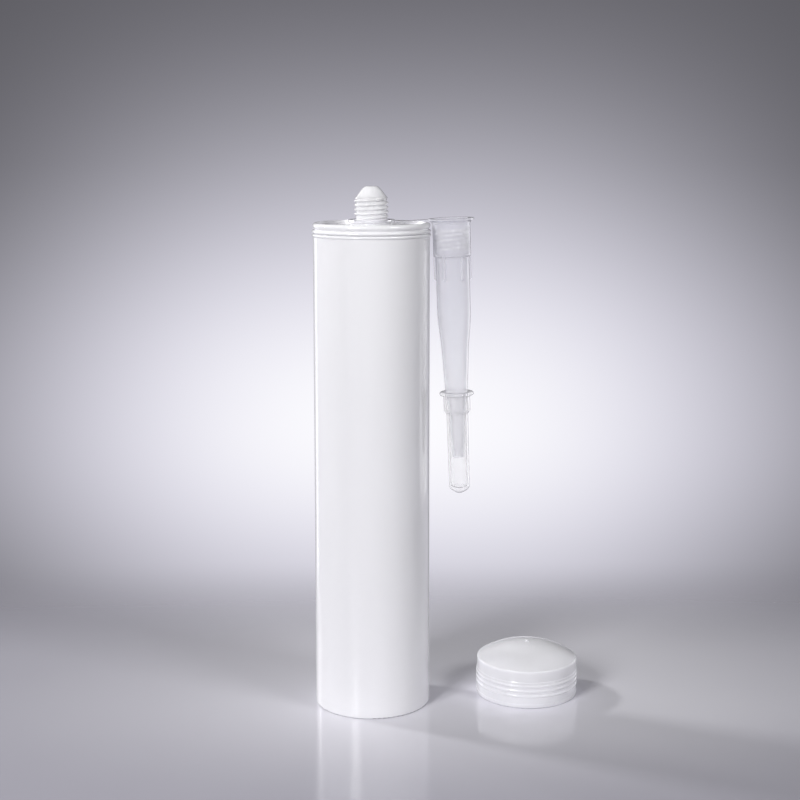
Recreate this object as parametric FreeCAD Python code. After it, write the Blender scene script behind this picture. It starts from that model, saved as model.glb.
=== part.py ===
import FreeCAD, Part
import math
import os

# A caulk cartridge, empty and standing on its open end, in millimetres.
# The barrel's axis is Z, and the origin is at the centre of the open end.
# The nozzle hangs tip down at +X from its strap, and the piston stands beside the barrel.

# Barrel
barrel_radius = 25.0
barrel_wall = 2.2
barrel_height = 210.4
outside_draft = 0.2
foot_round = 0.6

# Rim bead and the two ribs below it
rim_bead_height = 2.4
rim_bead_proud = 0.15
rim_crest_inset = 0.7
rim_land = 0.8
rib_drop = 3.6
rib_pitch = 1.6
rib_height = 1.35
rib_proud = 0.45
rib_groove = 0.45
rib_count = 2

# Closed end, recessed inside the rim
recess_depth = 1.5
recess_slope = 0.4
shoulder_thickness = 2.4
shoulder_round = 2.0

# Neck, with a sealed tip that is cut off before use
collar_radius = 8.2
collar_height = 1.3
collar_round = 0.3
neck_plain_radius = 6.9
neck_plain_height = 1.8
neck_root_radius = 6.5
neck_thread_length = 9.3
neck_channel_radius = 4.6
tip_cone_height = 3.3
tip_cone_radius = 3.9
tip_flat_radius = 2.2
tip_round_height = 1.1
tip_seal_thickness = 2.0
tip_edge = 0.6
channel_cone_height = 3.1

# Neck ring and strap of the nozzle
ring_inner_gap = 0.45
ring_outer_radius = 9.9
ring_height = 1.3
ring_seat_gap = 0.2
strap_width = 5.0
strap_thickness = 0.9
strap_rim_gap = 0.3
strap_sag = 0.45

# Nozzle, measured down its own axis from the mouth
nozzle_lean = 2.1
nozzle_length = 103.2
nozzle_barrel_gap = 0.42
mouth_above_strap = 0.6
nozzle_wall = 1.0
flange_radius = 9.8
flange_lip = 0.7
flange_height = 2.6
flange_flare = 0.5
socket_radius = 7.35
socket_wall = 0.7
socket_depth = 14.4
socket_length = 15.6
body_radius = 7.15
body_length = 38.0
bend_length = 19.0
bend_radius = 5.75
bend_pull = 7.6
cap_seat_drop = 74.45
cap_seat_radius = 4.8
shank_drop = 84.0
shank_radius = 3.45
tip_radius = 2.65
tip_wall = 0.85

# Upright ribs below the socket
nozzle_rib_count = 6
nozzle_rib_width = 0.9
nozzle_rib_proud = 0.95
nozzle_rib_length = 9.8
nozzle_rib_runout = 1.5

# Cap on the nozzle's tip, measured down from its mouth
cap_fit = 0.06
cap_wall = 0.85
cap_brim_radius = 7.4
cap_brim_thickness = 1.6
cap_sleeve_length = 8.2
cap_shoulder_length = 1.4
cap_finger_radius = 4.65
cap_finger_draft = 0.2
cap_length = 44.5
cap_end_height = 3.1
cap_end_radius = 1.2
cap_end_thickness = 2.1

# Piston
piston_clearance = 0.2
piston_rim_height = 16.8
piston_rim_round = 0.9
piston_dome_height = 6.2
piston_band_height = 11.4
piston_band_slope = 0.3
piston_upper_inset = 0.45
piston_ridge_count = 3
piston_ridge_first = 5.4
piston_ridge_pitch = 2.2
piston_ridge_height = 1.3
piston_ridge_proud = 0.3
piston_lip_height = 1.7
piston_lip_proud = 0.12
piston_foot_round = 0.5
piston_wall = 1.8
gate_radius = 0.85
gate_height = 0.6
gate_round = 0.25
piston_x = 69.0
piston_y = 8.5


class Outline:
    """A half section drawn edge by edge in the XZ plane and turned about Z."""

    def __init__(self, r, z):
        self.first = FreeCAD.Vector(r, 0, z)
        self.last = self.first
        self.edges = []

    def line_to(self, r, z):
        end = FreeCAD.Vector(r, 0, z)
        self.edges.append(Part.LineSegment(self.last, end).toShape())
        self.last = end

    def arc_to(self, middle, end):
        through = FreeCAD.Vector(middle[0], 0, middle[1])
        stop = FreeCAD.Vector(end[0], 0, end[1])
        self.edges.append(Part.Arc(self.last, through, stop).toShape())
        self.last = stop

    def curve_to(self, *poles):
        points = [self.last] + [FreeCAD.Vector(r, 0, z) for r, z in poles]
        curve = Part.BezierCurve()
        curve.setPoles(points)
        self.edges.append(curve.toShape())
        self.last = points[-1]

    def face(self):
        self.line_to(self.first.x, self.first.z)
        return Part.Face(Part.Wire(self.edges))

    def turned(self):
        return self.face().revolve(FreeCAD.Vector(0, 0, 0), FreeCAD.Vector(0, 0, 1), 360)


def quarter(radius):
    """How far a quarter round's middle point lies in from its corner."""
    return radius * (1 - math.sqrt(0.5))


# Values that follow from the sizes above
bore_radius = barrel_radius - barrel_wall
wall_top_radius = barrel_radius - outside_draft
rib_radius = wall_top_radius + rib_proud
groove_radius = wall_top_radius - rib_groove
rim_crest_radius = wall_top_radius - rim_crest_inset
recess_z = barrel_height - recess_depth
shoulder_under_z = recess_z - shoulder_thickness
collar_z = recess_z + collar_height
thread_z = collar_z + neck_plain_height
cone_z = thread_z + neck_thread_length
neck_tip_z = cone_z + tip_cone_height + tip_round_height

ring_z = collar_z + ring_seat_gap
strap_z = barrel_height + strap_rim_gap + strap_thickness / 2
mouth_z = strap_z + strap_thickness / 2 + mouth_above_strap
socket_outer_radius = socket_radius + socket_wall
mouth_x = rib_radius + nozzle_barrel_gap + socket_outer_radius

piston_radius = bore_radius - piston_clearance


def rim_and_ribs(outline):
    """The ribs as half rounds between grooves, then the rounded rim bead."""
    for number in range(rib_count):
        centre = barrel_height - rib_drop - rib_pitch * (rib_count - 1 - number)
        upper = centre + rib_height / 2
        if number > 0:
            outline.line_to(groove_radius, centre - rib_height / 2)
        outline.arc_to((rib_radius, centre), (groove_radius, upper))
    outline.line_to(groove_radius, barrel_height - rim_bead_height)
    bead = (wall_top_radius + rim_bead_proud, barrel_height - rim_bead_height / 2)
    outline.arc_to(bead, (rim_crest_radius, barrel_height))


def neck_outside(outline):
    """Up the collar, the plain part and the thread's root to the sealed tip."""
    outline.line_to(collar_radius, recess_z)
    outline.line_to(collar_radius, collar_z - collar_round)
    rounding = (collar_radius - quarter(collar_round), collar_z - quarter(collar_round))
    outline.arc_to(rounding, (collar_radius - collar_round, collar_z))
    outline.line_to(neck_plain_radius, collar_z)
    outline.line_to(neck_plain_radius, thread_z - (neck_plain_radius - neck_root_radius))
    outline.line_to(neck_root_radius, thread_z)
    outline.line_to(neck_root_radius, cone_z)
    outline.line_to(tip_cone_radius, cone_z + tip_cone_height)
    outline.curve_to((tip_flat_radius + tip_edge, neck_tip_z), (tip_flat_radius, neck_tip_z))
    outline.line_to(0, neck_tip_z)


def neck_inside(outline):
    """The channel down through the neck from under the sealed tip."""
    seal_z = neck_tip_z - tip_seal_thickness
    outline.line_to(0, seal_z)
    outline.line_to(tip_flat_radius, seal_z)
    outline.line_to(neck_channel_radius, seal_z - channel_cone_height)
    outline.line_to(neck_channel_radius, shoulder_under_z)


def make_cartridge():
    """Barrel, rim, shoulder and neck, moulded as one piece."""
    outline = Outline(bore_radius, 0)
    outline.line_to(barrel_radius - foot_round, 0)
    rounding = (barrel_radius - quarter(foot_round), quarter(foot_round))
    outline.arc_to(rounding, (barrel_radius, foot_round))
    lowest_rib = barrel_height - rib_drop - rib_pitch * (rib_count - 1)
    outline.line_to(wall_top_radius, lowest_rib - rib_height / 2)
    rim_and_ribs(outline)
    outline.line_to(rim_crest_radius - rim_land, barrel_height)
    outline.line_to(rim_crest_radius - rim_land - recess_slope, recess_z)
    neck_outside(outline)
    neck_inside(outline)
    outline.line_to(bore_radius - shoulder_round, shoulder_under_z)
    corner = (bore_radius - quarter(shoulder_round), shoulder_under_z - quarter(shoulder_round))
    outline.arc_to(corner, (bore_radius, shoulder_under_z - shoulder_round))
    return outline.turned()


def on_nozzle_axis(shape):
    """Carry a shape drawn with the nozzle's mouth at the origin to its leaning place."""
    shape.rotate(FreeCAD.Vector(0, 0, 0), FreeCAD.Vector(0, 1, 0), -nozzle_lean)
    shape.translate(FreeCAD.Vector(mouth_x, 0, mouth_z))
    return shape


def nozzle_tube():
    """Flange, socket, body and tip as one hollow turned form, mouth up at the origin."""
    bend_end = body_length + bend_length
    taper = (bend_radius - cap_seat_radius) / (cap_seat_drop - bend_end)
    outline = Outline(socket_radius, 0)
    outline.line_to(flange_radius, 0)
    outline.line_to(flange_radius, -flange_lip)
    outline.curve_to((socket_outer_radius, -flange_lip - flange_flare), (socket_outer_radius, -flange_height))
    outline.line_to(socket_outer_radius, -socket_length)
    outline.line_to(body_radius, -socket_length - (socket_outer_radius - body_radius))
    outline.line_to(body_radius, -body_length)
    slack = taper * bend_pull
    outline.curve_to((body_radius, -body_length - bend_pull), (bend_radius + slack, -bend_end + bend_pull),
                     (bend_radius, -bend_end))
    outline.line_to(cap_seat_radius, -cap_seat_drop)
    outline.line_to(shank_radius, -shank_drop)
    outline.line_to(tip_radius, -nozzle_length)
    outline.line_to(tip_radius - tip_wall, -nozzle_length)
    outline.line_to(shank_radius - tip_wall, -shank_drop)
    outline.line_to(cap_seat_radius - nozzle_wall, -cap_seat_drop)
    outline.line_to(bend_radius - nozzle_wall, -bend_end)
    inner = body_radius - nozzle_wall
    outline.curve_to((bend_radius - nozzle_wall + slack, -bend_end + bend_pull),
                     (inner, -body_length - bend_pull), (inner, -body_length))
    outline.line_to(inner, -socket_depth - (socket_radius - inner))
    outline.line_to(socket_radius, -socket_depth)
    return outline.turned()


def nozzle_rib():
    """One upright rib below the socket, running out into the body at its lower end."""
    root = body_radius - nozzle_wall / 2
    crest = body_radius + nozzle_rib_proud
    bottom = socket_length + nozzle_rib_length
    outline = Outline(root, -socket_length)
    outline.line_to(crest, -socket_length)
    outline.line_to(crest, -bottom)
    outline.line_to(root, -bottom - nozzle_rib_runout)
    rib = outline.face().extrude(FreeCAD.Vector(0, nozzle_rib_width, 0))
    rib.translate(FreeCAD.Vector(0, -nozzle_rib_width / 2, 0))
    return rib


def strap_and_ring():
    """The flat ring round the neck and the strap that runs over the rim to the flange."""
    ring_inner_radius = neck_plain_radius + ring_inner_gap
    ring = Part.makeCylinder(ring_outer_radius, ring_height)
    ring = ring.cut(Part.makeCylinder(ring_inner_radius, ring_height))
    ring.translate(FreeCAD.Vector(0, 0, ring_z))

    start = (ring_inner_radius + ring_outer_radius) / 2
    ring_mid_z = ring_z + ring_height / 2
    lip_x = mouth_x - (flange_radius + socket_radius) / 2
    route = [
        FreeCAD.Vector(start, 0, ring_mid_z),
        FreeCAD.Vector((start + rim_crest_radius) / 2, 0, strap_z - strap_sag),
        FreeCAD.Vector(rim_crest_radius - rim_land, 0, strap_z),
        FreeCAD.Vector(lip_x, 0, strap_z),
    ]
    half = FreeCAD.Vector(0, 0, strap_thickness / 2)
    upper = Part.BSplineCurve()
    upper.interpolate([point + half for point in route])
    lower = Part.BSplineCurve()
    lower.interpolate([point - half for point in route])
    near = Part.LineSegment(route[0] - half, route[0] + half)
    far = Part.LineSegment(route[-1] - half, route[-1] + half)
    side = Part.Face(Part.Wire([near.toShape(), upper.toShape(), far.toShape(), lower.toShape()]))
    strap = side.extrude(FreeCAD.Vector(0, strap_width, 0))
    strap.translate(FreeCAD.Vector(0, -strap_width / 2, 0))
    return ring.fuse(strap)


def make_nozzle():
    """Tube, ribs, strap and neck ring, moulded as one piece."""
    ribs = []
    for number in range(nozzle_rib_count):
        rib = nozzle_rib()
        turn = 360 * number / nozzle_rib_count
        rib.rotate(FreeCAD.Vector(0, 0, 0), FreeCAD.Vector(0, 0, 1), turn)
        ribs.append(rib)
    tube = on_nozzle_axis(nozzle_tube().multiFuse(ribs))
    return tube.fuse(strap_and_ring()).Solids[0]


def make_cap():
    """A closed finger with a tapered shoulder, a sleeve and a rounded brim."""
    mouth_radius = cap_seat_radius + cap_fit
    sleeve_radius = mouth_radius + cap_wall
    half_brim = cap_brim_thickness / 2
    finger_top = cap_sleeve_length + cap_shoulder_length
    finger_bottom = cap_length - cap_end_height
    finger_end_radius = cap_finger_radius - cap_finger_draft
    outline = Outline(mouth_radius, 0)
    outline.line_to(cap_brim_radius - half_brim, 0)
    outline.arc_to((cap_brim_radius, -half_brim), (cap_brim_radius - half_brim, -cap_brim_thickness))
    outline.line_to(sleeve_radius, -cap_brim_thickness)
    outline.line_to(sleeve_radius, -cap_sleeve_length)
    outline.line_to(cap_finger_radius, -finger_top)
    outline.line_to(finger_end_radius, -finger_bottom)
    outline.curve_to((finger_end_radius, -cap_length + cap_end_height / 2), (cap_end_radius, -cap_length))
    outline.line_to(0, -cap_length)
    outline.line_to(0, -cap_length + cap_end_thickness)
    outline.line_to(cap_end_radius, -cap_length + cap_end_thickness)
    outline.line_to(finger_end_radius - cap_wall, -finger_bottom)
    outline.line_to(cap_finger_radius - cap_wall, -finger_top)
    outline.line_to(mouth_radius, -cap_sleeve_length)
    cap = outline.turned()
    cap.translate(FreeCAD.Vector(0, 0, -cap_seat_drop))
    return on_nozzle_axis(cap)


def dome_z(base_radius, height, r):
    """How high a spherical cap of that base and height stands at the radius r."""
    sphere_radius = (base_radius ** 2 + height ** 2) / (2 * height)
    return height - sphere_radius + math.sqrt(sphere_radius ** 2 - r ** 2)


def piston_side(outline, band_radius):
    """Up the outside: foot, lip, sealing ridges and the slightly narrower upper band."""
    lip_radius = band_radius + piston_lip_proud
    upper_radius = piston_radius - piston_upper_inset
    half_ridge = piston_ridge_height / 2
    rounding = (lip_radius - quarter(piston_foot_round), quarter(piston_foot_round))
    outline.line_to(lip_radius - piston_foot_round, 0)
    outline.arc_to(rounding, (lip_radius, piston_foot_round))
    outline.line_to(lip_radius, piston_lip_height)
    outline.line_to(band_radius, piston_lip_height + piston_lip_proud)
    for number in range(piston_ridge_count):
        centre = piston_ridge_first + number * piston_ridge_pitch
        outline.line_to(band_radius, centre - half_ridge)
        outline.arc_to((piston_radius, centre), (band_radius, centre + half_ridge))
    outline.line_to(band_radius, piston_band_height)
    outline.line_to(upper_radius, piston_band_height + piston_band_slope)
    outline.line_to(upper_radius, piston_rim_height - piston_rim_round)
    rim = (upper_radius - quarter(piston_rim_round), piston_rim_height - quarter(piston_rim_round))
    outline.arc_to(rim, (upper_radius - piston_rim_round, piston_rim_height))
    return upper_radius - piston_rim_round


def make_piston():
    """A thin-walled piston, domed on top with the gate's small button, open underneath."""
    band_radius = piston_radius - piston_ridge_proud
    inner_radius = band_radius - piston_wall
    outline = Outline(inner_radius, 0)
    dome_radius = piston_side(outline, band_radius)

    middle = dome_radius / 2
    gate_foot = piston_rim_height + dome_z(dome_radius, piston_dome_height, gate_radius)
    outline.arc_to((middle, piston_rim_height + dome_z(dome_radius, piston_dome_height, middle)),
                   (gate_radius, gate_foot))
    gate_top = gate_foot + gate_height
    outline.line_to(gate_radius, gate_top - gate_round)
    outline.line_to(gate_radius - gate_round, gate_top)
    outline.line_to(0, gate_top)

    under_z = piston_rim_height - piston_wall
    outline.line_to(0, under_z + dome_z(inner_radius, piston_dome_height, gate_radius))
    outline.line_to(gate_radius, under_z + dome_z(inner_radius, piston_dome_height, gate_radius))
    middle = inner_radius / 2
    outline.arc_to((middle, under_z + dome_z(inner_radius, piston_dome_height, middle)),
                   (inner_radius, under_z))
    piston = outline.turned()
    piston.translate(FreeCAD.Vector(piston_x, piston_y, 0))
    return piston


nodes = {
    "cartridge": make_cartridge(),
    "nozzle": make_nozzle(),
    "nozzle_cap": make_cap(),
    "piston": make_piston(),
}

os.makedirs("parts", exist_ok=True)
for name, shape in nodes.items():
    shape.exportStep("parts/" + name + ".step")
    print(name, shape.ShapeType, "valid", shape.isValid(), "solids", len(shape.Solids),
          "volume %.1f" % shape.Volume)
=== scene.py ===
import math

import bpy
from mathutils import Matrix, Vector


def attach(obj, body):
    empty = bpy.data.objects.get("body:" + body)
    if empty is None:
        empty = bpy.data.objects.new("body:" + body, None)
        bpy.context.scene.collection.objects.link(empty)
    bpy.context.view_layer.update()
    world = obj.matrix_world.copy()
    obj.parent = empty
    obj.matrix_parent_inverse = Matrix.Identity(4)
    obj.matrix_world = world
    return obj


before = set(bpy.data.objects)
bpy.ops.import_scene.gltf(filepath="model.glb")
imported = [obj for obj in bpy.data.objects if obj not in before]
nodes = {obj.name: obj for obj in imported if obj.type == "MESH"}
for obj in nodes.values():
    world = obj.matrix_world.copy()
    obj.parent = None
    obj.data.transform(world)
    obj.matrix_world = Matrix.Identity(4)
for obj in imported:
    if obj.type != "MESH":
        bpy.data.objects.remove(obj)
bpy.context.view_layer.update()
scene = bpy.context.scene

MM = 0.001

# Sizes that repeat the solids', in millimetres and degrees
NECK_ROOT = 6.5
NECK_THREAD_FOOT = 212.0
NECK_THREAD_TOP = 221.3
SOCKET_ROOT = 7.35
SOCKET_DEPTH = 14.4
MOUTH = (33.72, 0.0, 212.2)
NOZZLE_LEAN = 2.1

# Sizes of the screw threads, in millimetres. The collar where the neck's thread starts is given as
# distances out from the neck's root and up from the thread's top.
PITCH = 1.85
CREST_ROUNDING = 0.07
SUNK_IN_WALL = 0.12
LEAD_IN = [(-0.1, 0.0), (0.0, 0.0), (0.4, -0.52), (0.35, -0.7), (0.0, -1.0), (-0.1, -1.0)]

# Steps in a full turn, of threads, rings and the table top
STEPS = 96


# Node graphs

def emptied(owner):
    """The cleared node tree of a material or a world."""
    owner.use_nodes = True
    owner.node_tree.nodes.clear()
    return owner.node_tree


def add(tree, kind, inputs=None, **settings):
    """Add a node, set its settings, and give each input a value or the socket that feeds it."""
    made = tree.nodes.new(kind)
    for key, value in settings.items():
        setattr(made, key, value)
    for key, value in (inputs or {}).items():
        if isinstance(value, bpy.types.NodeSocket):
            tree.links.new(value, made.inputs[key])
        else:
            made.inputs[key].default_value = value
    return made


def maths(tree, operation, *values):
    """A math node's result."""
    return add(tree, "ShaderNodeMath", dict(enumerate(values)), operation=operation).outputs[0]


def ranged(tree, value, low, high, to_low=0.0, to_high=1.0, smooth=False):
    """A value carried from one range to another, held at its ends."""
    kind = "SMOOTHSTEP" if smooth else "LINEAR"
    inputs = {
        "Value": value, "From Min": low, "From Max": high, "To Min": to_low, "To Max": to_high,
    }
    return add(tree, "ShaderNodeMapRange", inputs, interpolation_type=kind).outputs["Result"]


def falloff(tree, spread):
    """A share that falls from 1 towards 0 as spread grows from 0."""
    return maths(tree, "EXPONENT", maths(tree, "MULTIPLY", spread, -1.0))


def blend(tree, share, first, second):
    """The first colour, with a share of the second mixed in."""
    inputs = {0: share, 6: first, 7: second}
    return add(tree, "ShaderNodeMix", inputs, data_type="RGBA").outputs[2]


def noise(tree, vector, scale, detail, stretch=(1.0, 1.0, 1.0)):
    """Noise in object space, drawn out along an axis where stretch is under 1."""
    laid = add(tree, "ShaderNodeVectorMath", {0: vector, 1: stretch}, operation="MULTIPLY")
    inputs = {"Vector": laid.outputs[0], "Scale": scale, "Detail": detail}
    return add(tree, "ShaderNodeTexNoise", inputs).outputs[0]


# Plastics

# How fine their noises are, in cells per metre
CLOUDS = 45.0
WAVES = 160.0
GRAIN = 2600.0

# The grain's height beside the waves', and the haze of a wall's inner faces beside its outer faces'
GRAIN_HEIGHT = 0.06
INNER_HAZE = 0.3

# Heights of the skin's bumps and depths of scattering, in metres
SATIN_BUMP = 0.00003
GLASSY_BUMP = 0.000002
THIN_WALL = 0.0007


def plastic(name, light, dark, roughness, spread, milk, depth, ior=1.5, flow=(1.0, 1.0, 1.0),
            bump=SATIN_BUMP, clear=None, edge_tint_and_shade=None):
    """Moulded plastic: faint cloudiness in its colour, uneven gloss, and a skin that isn't quite
    flat. Flow draws the cloudiness and the gloss out along an axis. Milk is the share of light that
    scatters below the skin, and depth how far it gets. For a translucent wall, clear holds how much
    of the view its haze stops, met square on and met edge on, and edge_tint_and_shade is the haze's
    colour met edge on: partly the tint taken on along the wall, partly painted shade standing in
    for the dark surroundings seen through a wall edge on. The gloss then is a layer of its own, on
    the outer faces only."""
    material = bpy.data.materials.new(name)
    tree = emptied(material)
    place = add(tree, "ShaderNodeTexCoord").outputs["Object"]
    cloud = noise(tree, place, CLOUDS, 2.0, flow)
    wave = noise(tree, place, WAVES, 2.0, flow)
    grain = noise(tree, place, GRAIN, 2.0)
    colour = blend(tree, ranged(tree, cloud, 0.35, 0.65), dark, light)
    gloss = ranged(tree, wave, 0.3, 0.7, roughness - spread, roughness + spread)
    skin = maths(tree, "MULTIPLY_ADD", grain, GRAIN_HEIGHT, wave)
    bumps = {"Height": skin, "Distance": bump, "Strength": 1.0}
    lifted = add(tree, "ShaderNodeBump", bumps).outputs[0]
    shader = add(tree, "ShaderNodeBsdfPrincipled", {
        "Base Color": colour,
        "Roughness": gloss,
        "Normal": lifted,
        "IOR": ior,
        "Subsurface Weight": milk,
        "Subsurface Radius": (1.0, 1.0, 1.0),
        "Subsurface Scale": depth,
    })
    surface = shader.outputs[0]
    if clear:
        facing = add(tree, "ShaderNodeLayerWeight", {"Blend": 0.5}).outputs["Facing"]
        edge = maths(tree, "POWER", facing, 3.0)
        inner = add(tree, "ShaderNodeNewGeometry").outputs["Backfacing"]
        outer = maths(tree, "SUBTRACT", 1.0, inner)
        faint = maths(tree, "MULTIPLY_ADD", inner, INNER_HAZE - 1.0, 1.0)
        stopped = maths(tree, "MULTIPLY", ranged(tree, edge, 0.0, 1.0, *clear), faint)
        # Painted shade at the edges: the haze turns to the darker edge colour where a wall is seen
        # edge on, partly the wall's own tint and partly shade standing in for the dark surroundings
        # a clear wall shows there
        tinted_and_edge_shaded = blend(tree, edge, colour, edge_tint_and_shade)
        tree.links.new(stopped, shader.inputs["Alpha"])
        tree.links.new(tinted_and_edge_shaded, shader.inputs["Base Color"])
        shader.inputs["Specular IOR Level"].default_value = 0.0
        shine = add(tree, "ShaderNodeFresnel", {"IOR": ior, "Normal": lifted}).outputs[0]
        mirror = add(tree, "ShaderNodeBsdfGlossy", {"Roughness": gloss, "Normal": lifted})
        layers = {0: maths(tree, "MULTIPLY", shine, outer), 1: surface, 2: mirror.outputs[0]}
        surface = add(tree, "ShaderNodeMixShader", layers).outputs[0]
    add(tree, "ShaderNodeOutputMaterial", {"Surface": surface})
    return material


white_hdpe = plastic(
    "white_hdpe", light=(0.88, 0.875, 0.9, 1), dark=(0.85, 0.845, 0.87, 1),
    roughness=0.11, spread=0.02, milk=0.3, depth=0.003, ior=1.56, flow=(1.0, 1.0, 0.08))
# The edge colours of the translucent plastics are partly their tint and partly painted shade along
# their edges
clear_pe = plastic(
    "clear_pe", light=(0.75, 0.75, 0.81, 1), dark=(0.72, 0.72, 0.78, 1),
    roughness=0.05, spread=0.015, milk=0.8, depth=THIN_WALL, flow=(1.0, 1.0, 0.25),
    bump=GLASSY_BUMP, clear=(0.2, 0.95), edge_tint_and_shade=(0.66, 0.66, 0.72, 1))
cap_pe = plastic(
    "cap_pe", light=(1.0, 0.99, 1.0, 1), dark=(0.99, 0.98, 0.995, 1),
    roughness=0.04, spread=0.01, milk=0.6, depth=THIN_WALL, flow=(1.0, 1.0, 0.25),
    bump=GLASSY_BUMP, clear=(0.07, 0.95), edge_tint_and_shade=(0.52, 0.51, 0.56, 1))
thread_pe = plastic(
    "thread_pe", light=(1.0, 1.0, 1.0, 1), dark=(0.98, 0.98, 1.0, 1),
    roughness=0.05, spread=0.015, milk=0.2, depth=THIN_WALL,
    bump=GLASSY_BUMP, clear=(0.6, 1.0), edge_tint_and_shade=(0.95, 0.95, 1.0, 1))
milky_pe = plastic(
    "milky_pe", light=(0.935, 0.925, 1.0, 1), dark=(0.92, 0.91, 0.985, 1),
    roughness=0.06, spread=0.015, milk=0.6, depth=0.006)

for node, material in (("cartridge", white_hdpe), ("nozzle", clear_pe), ("nozzle_cap", cap_pe),
                       ("piston", milky_pe)):
    for held in nodes[node].material_slots:
        held.material = material


# Screw threads

def placed(name, data):
    """A new object in the scene."""
    made = bpy.data.objects.new(name, data)
    scene.collection.objects.link(made)
    return made


def swept(name, sections, material, closed=False):
    """A skin over a run of matching sections, with a flat cap at each open end."""
    points = [point for section in sections for point in section]
    size = len(sections[0])
    count = len(sections)
    faces = []
    for i in range(count if closed else count - 1):
        here, there = i * size, (i + 1) % count * size
        for j in range(size):
            k = (j + 1) % size
            faces.append((here + j, here + k, there + k, there + j))
    if not closed:
        faces.append(tuple(range(size))[::-1])
        faces.append(tuple(range((count - 1) * size, count * size)))
    mesh = bpy.data.meshes.new(name)
    mesh.from_pydata([[c * MM for c in point] for point in points], [], faces)
    mesh.validate()
    mesh.materials.append(material)
    mesh.shade_smooth()
    return placed(name, mesh)


def around_z(profile, angle, up=0.0):
    """A profile of radii and heights, stood at an angle round Z."""
    return [(r * math.cos(angle), r * math.sin(angle), up + z) for r, z in profile]


def helix(root, depth, low, high, foot, land, lead, start):
    """Sections of a screw thread round Z, from the angle start in degrees. Foot is its width at the
    root and land at the crest. It rises out of its root and sinks back over a lead at each end,
    counted in turns."""
    sections = []
    turns = (high - low) / PITCH
    sunk = root - math.copysign(SUNK_IN_WALL, depth)
    for i in range(int(turns * STEPS) + 1):
        along = i / STEPS
        grown = min(1.0, along / lead, (turns - along) / lead)
        grown = max(0.02, grown * grown * (3 - 2 * grown))
        crest = root + depth * grown
        shoulder = root + depth * grown * 0.8
        profile = [
            (sunk, -foot / 2),
            (root, -foot / 2),
            (shoulder, -land / 2 - CREST_ROUNDING),
            (crest, -land / 2 + CREST_ROUNDING),
            (crest, land / 2 - CREST_ROUNDING),
            (shoulder, land / 2 + CREST_ROUNDING),
            (root, foot / 2),
            (sunk, foot / 2),
        ]
        angle = math.radians(start) + along * 2 * math.pi
        sections.append(around_z(profile, angle, low + along * PITCH))
    return sections


def lathed(profile):
    """Sections of a ring turned about Z."""
    return [around_z(profile, i / STEPS * 2 * math.pi) for i in range(STEPS)]


neck_thread = swept("neck_thread", helix(
    NECK_ROOT, depth=0.75, low=NECK_THREAD_FOOT + 0.25, high=NECK_THREAD_TOP - 0.9,
    foot=1.45, land=0.5, lead=0.25, start=200), white_hdpe)
lead_in = swept("neck_lead_in", lathed(
    [(NECK_ROOT + out, NECK_THREAD_TOP + up) for out, up in LEAD_IN]), white_hdpe, closed=True)
socket_thread = swept("socket_thread", helix(
    SOCKET_ROOT, depth=-0.6, low=-SOCKET_DEPTH + 0.6, high=-4.6,
    foot=0.8, land=0.3, lead=0.3, start=20), thread_pe)
socket_thread.data.transform(Matrix.Translation(Vector(MOUTH) * MM)
                             @ Matrix.Rotation(math.radians(-NOZZLE_LEAN), 4, "Y"))
for piece, body, finish in ((neck_thread, "tube", "white_hdpe"), (lead_in, "tube", "white_hdpe"),
                            (socket_thread, "nozzle", "clear_pe")):
    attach(piece, body)


# Floor: a glossy table top with a pool of light painted round the object, that melts into the
# background behind and at its edge

TABLE_RADIUS = 0.48
TABLE_RINGS = 24
TABLE_DROP = 0.00005

# The pool of light painted round the object, in metres: its middle in X, and how far it spreads
# from there and to the rear and the front of Y = 0
LIGHT_POOL_MIDDLE = 0.055
LIGHT_POOL_SIDES = 0.17
LIGHT_POOL_REAR = 0.21
LIGHT_POOL_FRONT = 0.075
# Colour of the painted pool of light, and the table's own grey away from it
LIGHT_POOL_COLOUR = (0.76, 0.75, 0.80, 1)
TABLE_COLOUR = (0.38, 0.37, 0.425, 1)

# Where the table top starts to fade and where it is gone, in metres behind and from the middle
FADE_BEHIND = (0.05, 0.22)
FADE_AROUND = (0.3, 0.46)


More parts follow.
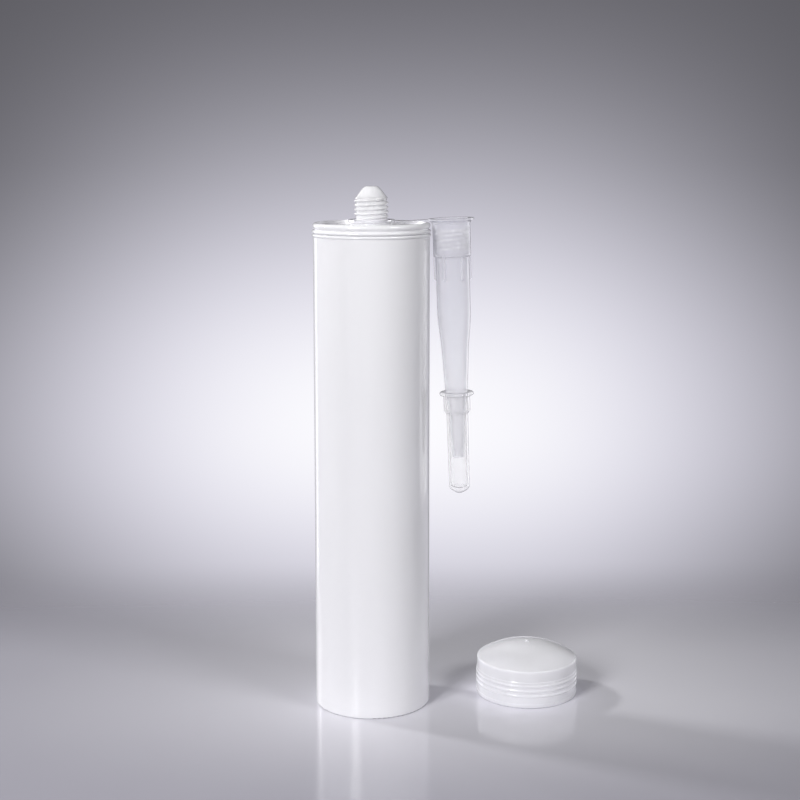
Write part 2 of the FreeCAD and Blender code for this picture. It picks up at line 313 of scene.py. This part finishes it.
def floor_material():
    """A pool of light painted on grey round the object, faintly mottled, glossy round the object
    and duller further away.
    """
    material = bpy.data.materials.new("table_top")
    tree = emptied(material)
    place = add(tree, "ShaderNodeTexCoord").outputs["Object"]
    split = add(tree, "ShaderNodeSeparateXYZ", {0: place})
    x, y = split.outputs["X"], split.outputs["Y"]
    across = maths(tree, "DIVIDE", maths(tree, "SUBTRACT", x, LIGHT_POOL_MIDDLE), LIGHT_POOL_SIDES)
    rear = maths(tree, "DIVIDE", maths(tree, "MAXIMUM", y, 0.0), LIGHT_POOL_REAR)
    front = maths(tree, "DIVIDE", maths(tree, "MINIMUM", y, 0.0), LIGHT_POOL_FRONT)
    along = maths(tree, "POWER", maths(tree, "SUBTRACT", rear, front), 2.0)
    # Painted pool of light: the floor is coloured lighter round the object, where the lamps' light
    # falls most
    painted_pool = falloff(tree, maths(tree, "MULTIPLY_ADD", across, across, along))
    mottle = noise(tree, place, 9.0, 3.0)
    # The painted pool of light, with a faint random mottle
    shade = maths(tree, "MULTIPLY_ADD", mottle, 0.1, painted_pool)
    colour = blend(tree, ranged(tree, shade, 0.05, 1.05), TABLE_COLOUR, LIGHT_POOL_COLOUR)
    fine = noise(tree, place, 900.0, 3.0)
    away = add(tree, "ShaderNodeVectorMath", {0: place}, operation="LENGTH").outputs["Value"]
    dulled = ranged(tree, away, 0.08, 0.25, 0.1, 0.2)
    gloss = maths(tree, "MULTIPLY_ADD", fine, 0.06, dulled)
    lifted = add(tree, "ShaderNodeBump", {"Height": fine, "Distance": 0.00002, "Strength": 0.6})
    shader = add(tree, "ShaderNodeBsdfPrincipled", {
        "Base Color": colour,
        "Roughness": gloss,
        "IOR": 1.5,
        "Normal": lifted.outputs[0],
    })
    behind = ranged(tree, y, *FADE_BEHIND, 1.0, 0.0, smooth=True)
    round_about = ranged(tree, away, *FADE_AROUND, 1.0, 0.0, smooth=True)
    solid = maths(tree, "MULTIPLY", behind, round_about)
    gone = add(tree, "ShaderNodeBsdfTransparent")
    layers = {0: solid, 1: gone.outputs[0], 2: shader.outputs[0]}
    mixed = add(tree, "ShaderNodeMixShader", layers)
    add(tree, "ShaderNodeOutputMaterial", {"Surface": mixed.outputs[0]})
    return material


def table_top():
    """A flat disc of rings just under the object."""
    points = [(0.0, 0.0, 0.0)]
    faces = []
    for i in range(1, TABLE_RINGS + 1):
        r = TABLE_RADIUS * i / TABLE_RINGS
        for j in range(STEPS):
            angle = j / STEPS * 2 * math.pi
            points.append((r * math.cos(angle), r * math.sin(angle), 0.0))
    for j in range(STEPS):
        faces.append((0, 1 + j, 1 + (j + 1) % STEPS))
    for i in range(TABLE_RINGS - 1):
        inner, outer = 1 + i * STEPS, 1 + (i + 1) * STEPS
        for j in range(STEPS):
            k = (j + 1) % STEPS
            faces.append((inner + j, outer + j, outer + k, inner + k))
    mesh = bpy.data.meshes.new("table_top")
    mesh.from_pydata(points, [], faces)
    mesh.materials.append(floor_material())
    made = placed("table_top", mesh)
    made.location.z = -TABLE_DROP
    return made


table_top()


# World: a soft glow on a grey backdrop for what is seen, and even light for what is lit

# The glow's middle, as a turn and a rise from the horizon in front, and how far it spreads to each
# side, above and below, in degrees
GLOW_TURN = 0.6
GLOW_RISE = -10.95
GLOW_SIDES = 15.3
GLOW_ABOVE = 10.2
GLOW_BELOW = 8.5
GLOW_STRENGTH = 0.87
BACKDROP_STRENGTH = 0.1
GLOW_COLOUR = (1.0, 0.995, 1.03, 1)
BACKDROP_COLOUR = (1.0, 0.98, 1.11, 1)

# The brighter room beside the backdrop and the brighter ground beneath it: the degrees over which
# each comes in, and how bright it gets
ROOM_TURN = (17, 36)
ROOM_STRENGTH = 0.75
GROUND_RISE = (-50, -26)
GROUND_STRENGTH = 0.35

LIT_COLOUR = (0.97, 0.97, 1.0, 1)
LIT_STRENGTH = 0.055


def studio_world():
    """Set up the backdrop that is seen and reflected, and the even light that falls on surfaces."""
    world = bpy.data.worlds.new("studio")
    scene.world = world
    tree = emptied(world)
    place = add(tree, "ShaderNodeTexCoord").outputs["Generated"]
    toward = add(tree, "ShaderNodeSeparateXYZ", {0: place})
    across = maths(tree, "ARCTAN2", toward.outputs["X"], toward.outputs["Y"])
    up = maths(tree, "ARCSINE", toward.outputs["Z"])
    side = maths(tree, "ABSOLUTE", maths(tree, "SUBTRACT", across, math.radians(GLOW_TURN)))
    flat = maths(tree, "POWER", maths(tree, "DIVIDE", side, math.radians(GLOW_SIDES)), 2.6)
    over = maths(tree, "SUBTRACT", up, math.radians(GLOW_RISE))
    above = maths(tree, "DIVIDE", maths(tree, "MAXIMUM", over, 0.0), math.radians(GLOW_ABOVE))
    below = maths(tree, "DIVIDE", maths(tree, "MINIMUM", over, 0.0), math.radians(GLOW_BELOW))
    tall = maths(tree, "POWER", maths(tree, "SUBTRACT", above, below), 2.0)
    narrowing = maths(tree, "MULTIPLY_ADD", maths(tree, "MINIMUM", tall, 1.0), 0.4, 1.0)
    glow = falloff(tree, maths(tree, "MULTIPLY_ADD", flat, narrowing, tall))
    room = ranged(tree, side, *map(math.radians, ROOM_TURN), 0.0, ROOM_STRENGTH, smooth=True)
    ground = ranged(tree, up, *map(math.radians, GROUND_RISE), GROUND_STRENGTH, 0.0, smooth=True)
    around = maths(tree, "MAXIMUM", room, ground)
    backdrop = maths(tree, "MULTIPLY_ADD", glow, GLOW_STRENGTH, BACKDROP_STRENGTH)
    tone = maths(tree, "ADD", backdrop, around)
    white = maths(tree, "POWER", glow, 4.0)
    tint = blend(tree, white, BACKDROP_COLOUR, GLOW_COLOUR)
    seen = add(tree, "ShaderNodeBackground", {"Color": tint, "Strength": tone})
    lit = add(tree, "ShaderNodeBackground", {"Color": LIT_COLOUR, "Strength": LIT_STRENGTH})
    path = add(tree, "ShaderNodeLightPath")
    mirrored = maths(tree, "MAXIMUM", path.outputs["Is Glossy Ray"],
                     path.outputs["Is Transmission Ray"])
    looked = maths(tree, "MAXIMUM", path.outputs["Is Camera Ray"], mirrored)
    mixed = add(tree, "ShaderNodeMixShader", {0: looked, 1: lit.outputs[0], 2: seen.outputs[0]})
    add(tree, "ShaderNodeOutputWorld", {"Surface": mixed.outputs[0]})


studio_world()


# Lamps

def lamp(name, turn, rise, far, width, height, watts, aim=(0.02, 0.0, 0.1)):
    """A softbox facing the object. Turn is measured from the front, -Y, towards +X, in degrees."""
    data = bpy.data.lights.new(name, "AREA")
    data.shape = "RECTANGLE"
    data.size = width
    data.size_y = height
    data.energy = watts
    made = placed(name, data)
    a, e = math.radians(turn), math.radians(rise)
    away = Vector((math.sin(a) * math.cos(e), -math.cos(a) * math.cos(e), math.sin(e)))
    made.location = Vector(aim) + away * far
    made.rotation_euler = away.to_track_quat("Z", "Y").to_euler()


lamp("key", -35, 28, far=1.0, width=0.28, height=0.4, watts=7.3, aim=(0.02, 0.0, 0.05))
lamp("fill", 50, 36, far=1.2, width=0.4, height=0.3, watts=4.9, aim=(0.02, 0.0, 0.06))
lamp("side", -115, 37, far=1.0, width=0.09, height=0.09, watts=3.4)
lamp("edge_right", 125, 0, far=0.9, width=0.45, height=0.34, watts=0.8, aim=(0.0, 0.0, 0.05))
lamp("edge", -140, 2, far=0.85, width=0.12, height=1.3, watts=0.7)
lamp("edge_high", -132, 22, far=0.9, width=0.1, height=0.25, watts=0.7, aim=(0.0, 0.0, 0.02))


# Camera, at the photograph's place and angle, in metres, millimetres and radians

CAMERA_AT = (0.005244, -0.624676, 0.244057)
CAMERA_DOWN = 0.147
CAMERA_RIGHT = 0.011

camera_data = bpy.data.cameras.new("camera")
camera_data.sensor_width = 36.0
camera_data.lens = 66.23
camera_data.shift_y = -0.05007
camera_data.clip_start = 0.01
camera = placed("camera", camera_data)
camera.location = CAMERA_AT
camera.rotation_euler = (math.pi / 2 - CAMERA_DOWN, 0.0, -CAMERA_RIGHT)
scene.camera = camera

scene.view_settings.view_transform = "Standard"
